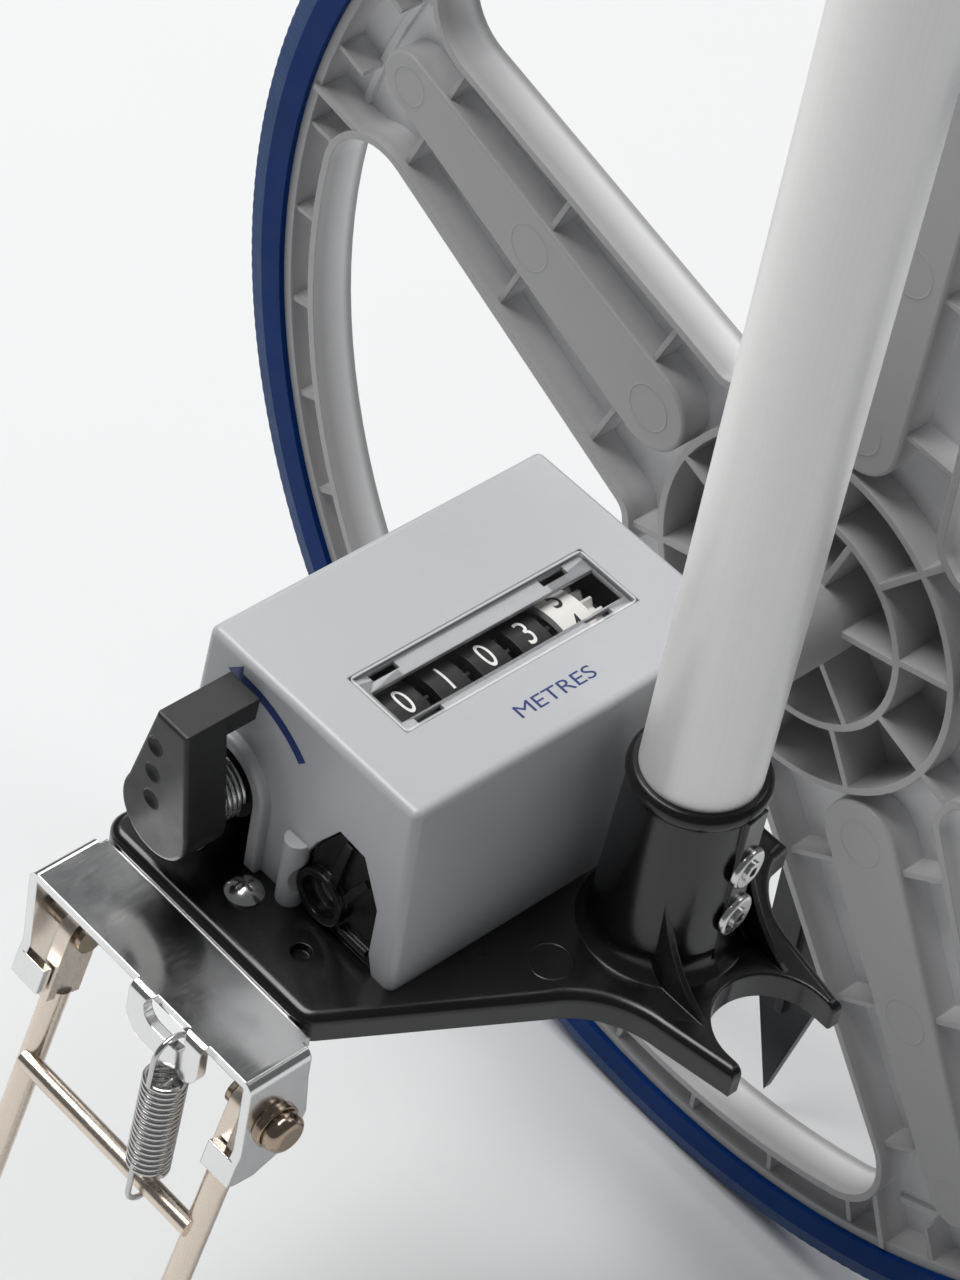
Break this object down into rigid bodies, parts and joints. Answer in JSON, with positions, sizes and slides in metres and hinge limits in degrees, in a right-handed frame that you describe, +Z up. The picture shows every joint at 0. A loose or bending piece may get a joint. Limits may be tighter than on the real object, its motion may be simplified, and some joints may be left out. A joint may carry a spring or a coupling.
{
  "type": "measuring wheel",
  "caption": "Walking measuring wheel: spoked wheel with tyre, geared drum counter with reset lever, folding tube handle with clip, sprung fold-down stand and start pointer.",
  "frame": {"origin": "on the ground, at the middle of the footprint seen from above; the axle is straight above the X = 0 line", "axes": "+Z up along the upright handle tube, +Y along the axle from the counter to the wheel, +X towards the operator, the way the handle folds"},
  "size_m": [0.318, 0.2156, 1.099],
  "materials": {
    "tyre_navy": "moulded, fine tread",
    "wheel_grey": "moulded, fine texture",
    "steel": "turned",
    "black_plastic": "gloss moulding",
    "black_matte": "satin moulding",
    "brass": "turned",
    "bearing_steel": "sintered, oiled",
    "cover_grey": "fine moulded texture",
    "window": "clear polished plastic",
    "zinc_plate": "zinc plated sheet",
    "drum_black": "satin, printed digits",
    "drum_white": "satin, printed digits",
    "gear_white": "natural moulding",
    "spring_steel": "drawn wire",
    "chrome": "bright plated sheet",
    "nickel": "satin nickel plate",
    "fastener": "bright plated",
    "rubber_black": "moulded rubber",
    "tube_alloy": "satin anodised"
  },
  "bodies": {
    "chassis": {"bracket": "black_plastic", "axle_bush_outer": "bearing_steel", "axle_bush_inner": "bearing_steel", "tube_rivets": "fastener", "lower_tube": "tube_alloy", "fold_joint_lower": "black_matte", "hinge_pin": "steel", "counter_cover": "cover_grey", "window_lens": "window", "counter_frame": "zinc_plate", "pinion_shaft": "steel", "cover_screws": "fastener", "frame_screws": "fastener", "stand_bracket": "chrome", "stand_screws": "fastener", "stand_nuts": "fastener", "stand_rivets": "nickel", "reset_spring": "spring_steel"},
    "wheel": {"wheel": "wheel_grey", "tyre": "tyre_navy", "axle": "steel", "axle_nut": "fastener", "thrust_washer": "steel", "axle_gear": "gear_white", "pointer_cap": "black_matte"},
    "pointer": {"start_pointer": "black_matte"},
    "lever": {"reset_lever": "black_matte", "reset_sector": "gear_white"},
    "reset_shaft": {"drum_shaft": "steel", "reset_pinion": "brass"},
    "stand": {"stand_leg_right": "nickel", "stand_leg_left": "nickel", "stand_crossbar": "nickel", "foot_cap_right": "rubber_black", "foot_cap_left": "rubber_black"},
    "stand_spring": {"stand_spring": "spring_steel"},
    "handle": {"fold_joint_upper": "black_matte", "upper_tube": "tube_alloy", "handle_grip": "rubber_black", "grip_cap": "rubber_black"},
    "lock_button": {"lock_button": "black_plastic"},
    "drum_tenths": {"drum_tenths": "drum_white"},
    "drum_ones": {"drum_ones": "drum_black"},
    "drum_tens": {"drum_tens": "drum_black"},
    "drum_hundreds": {"drum_hundreds": "drum_black"},
    "drum_thousands": {"drum_thousands": "drum_black"},
    "transfer_pinion_1": {"transfer_pinion_1": "gear_white"},
    "transfer_pinion_2": {"transfer_pinion_2": "gear_white"},
    "transfer_pinion_3": {"transfer_pinion_3": "gear_white"},
    "transfer_pinion_4": {"transfer_pinion_4": "gear_white"}
  },
  "joints": [
    {"name": "wheel_spin", "type": "hinge", "parent": "chassis", "child": "wheel", "pos_m": [0, 0.082, 0.159], "axis": [0, -1, 0], "continuous": true},
    {"name": "pointer_swing", "type": "hinge", "parent": "chassis", "child": "pointer", "pos_m": [0, 0.1, 0.159], "axis": [0, -1, 0], "continuous": true},
    {"name": "reset_press", "type": "hinge", "parent": "chassis", "child": "lever", "pos_m": [-0.0255, -0.055, 0.1675], "axis": [0, -1, 0], "range_deg": [0, 60], "stiffness_Nm_per_rad": 0.12, "springref_deg": -14.32},
    {"name": "reset_shaft_turn", "type": "hinge", "parent": "chassis", "child": "reset_shaft", "pos_m": [-0.005, -0.034, 0.1796], "axis": [0, -1, 0], "range_deg": [-360, 0]},
    {"name": "stand_fold", "type": "hinge", "parent": "chassis", "child": "stand", "pos_m": [-0.0099, -0.0666, 0.1343], "axis": [1, 0, 0], "range_deg": [0, 95]},
    {"name": "stand_spring_swing", "type": "hinge", "parent": "chassis", "child": "stand_spring", "pos_m": [0.0012, -0.0749, 0.1409], "axis": [1, 0, 0], "range_deg": [0, 73.15], "deforming": ["stand_spring"]},
    {"name": "handle_fold", "type": "hinge", "parent": "chassis", "child": "handle", "pos_m": [0.05, 0.008, 0.559], "axis": [0, 1, 0], "range_deg": [0, 180]},
    {"name": "lock_press", "type": "slide", "parent": "chassis", "child": "lock_button", "axis": [0, 1, 0], "range_m": [0, 0.003], "stiffness_N_per_m": 500, "springref_m": -0.003},
    {"name": "drum_tenths_turn", "type": "hinge", "parent": "chassis", "child": "drum_tenths", "pos_m": [-0.005, 0.014, 0.1796], "axis": [0, -1, 0], "continuous": true},
    {"name": "drum_ones_turn", "type": "hinge", "parent": "chassis", "child": "drum_ones", "pos_m": [-0.005, 0.00445, 0.1796], "axis": [0, -1, 0], "continuous": true},
    {"name": "drum_tens_turn", "type": "hinge", "parent": "chassis", "child": "drum_tens", "pos_m": [-0.005, -0.0051, 0.1796], "axis": [0, -1, 0], "continuous": true},
    {"name": "drum_hundreds_turn", "type": "hinge", "parent": "chassis", "child": "drum_hundreds", "pos_m": [-0.005, -0.01465, 0.1796], "axis": [0, -1, 0], "continuous": true},
    {"name": "drum_thousands_turn", "type": "hinge", "parent": "chassis", "child": "drum_thousands", "pos_m": [-0.005, -0.0242, 0.1796], "axis": [0, -1, 0], "continuous": true},
    {"name": "transfer_pinion_1_turn", "type": "hinge", "parent": "chassis", "child": "transfer_pinion_1", "pos_m": [0.00947, 0.00845, 0.17433], "axis": [0, -1, 0], "continuous": true},
    {"name": "transfer_pinion_2_turn", "type": "hinge", "parent": "chassis", "child": "transfer_pinion_2", "pos_m": [0.00947, -0.0011, 0.17433], "axis": [0, -1, 0], "continuous": true},
    {"name": "transfer_pinion_3_turn", "type": "hinge", "parent": "chassis", "child": "transfer_pinion_3", "pos_m": [0.00947, -0.01065, 0.17433], "axis": [0, -1, 0], "continuous": true},
    {"name": "transfer_pinion_4_turn", "type": "hinge", "parent": "chassis", "child": "transfer_pinion_4", "pos_m": [0.00947, -0.0202, 0.17433], "axis": [0, -1, 0], "continuous": true}
  ],
  "couplings": [
    {"joint": "reset_shaft_turn", "follows": "reset_press", "ratio": -6},
    {"joint": "stand_spring_swing", "follows": "stand_fold", "ratio": 0.77},
    {"joint": "drum_tenths_turn", "follows": "wheel_spin", "ratio": -1},
    {"joint": "drum_ones_turn", "follows": "wheel_spin", "ratio": -0.1},
    {"joint": "drum_tens_turn", "follows": "wheel_spin", "ratio": -0.01},
    {"joint": "drum_hundreds_turn", "follows": "wheel_spin", "ratio": -0.001},
    {"joint": "drum_thousands_turn", "follows": "wheel_spin", "ratio": -0.0001},
    {"joint": "transfer_pinion_1_turn", "follows": "wheel_spin", "ratio": 0.25},
    {"joint": "transfer_pinion_2_turn", "follows": "wheel_spin", "ratio": 0.025},
    {"joint": "transfer_pinion_3_turn", "follows": "wheel_spin", "ratio": 0.0025},
    {"joint": "transfer_pinion_4_turn", "follows": "wheel_spin", "ratio": 0.00025}
  ]
}
